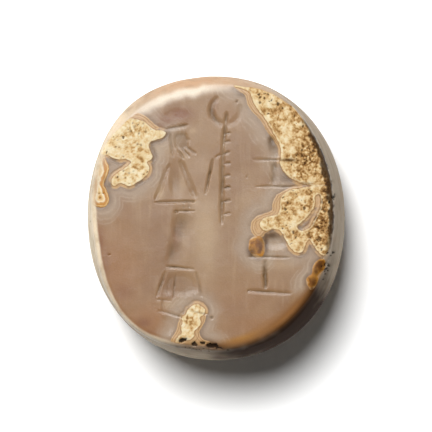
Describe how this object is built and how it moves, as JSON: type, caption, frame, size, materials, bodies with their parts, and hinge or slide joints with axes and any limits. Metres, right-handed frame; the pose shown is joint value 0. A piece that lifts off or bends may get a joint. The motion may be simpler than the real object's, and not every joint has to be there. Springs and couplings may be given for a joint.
{
  "type": "engraved gem",
  "caption": "Thick oval agate gem with a flat face cut in intaglio: a worshipper before a crescent on a tasselled pole and altars; rounded walls, domed back, lies face up.",
  "frame": {"origin": "middle of the flat spot on the underside, on which the gem lies", "axes": "+Z out of the engraved face, +Y to the top of the engraved picture along the gem's length, +X to its right"},
  "size_m": [0.0214, 0.0236, 0.0105],
  "materials": {
    "agate": "polished, slightly translucent mauve-grey agate with pitted cream and ochre inclusions"
  },
  "bodies": {
    "root": {"gem": "agate"}
  },
  "joints": []
}
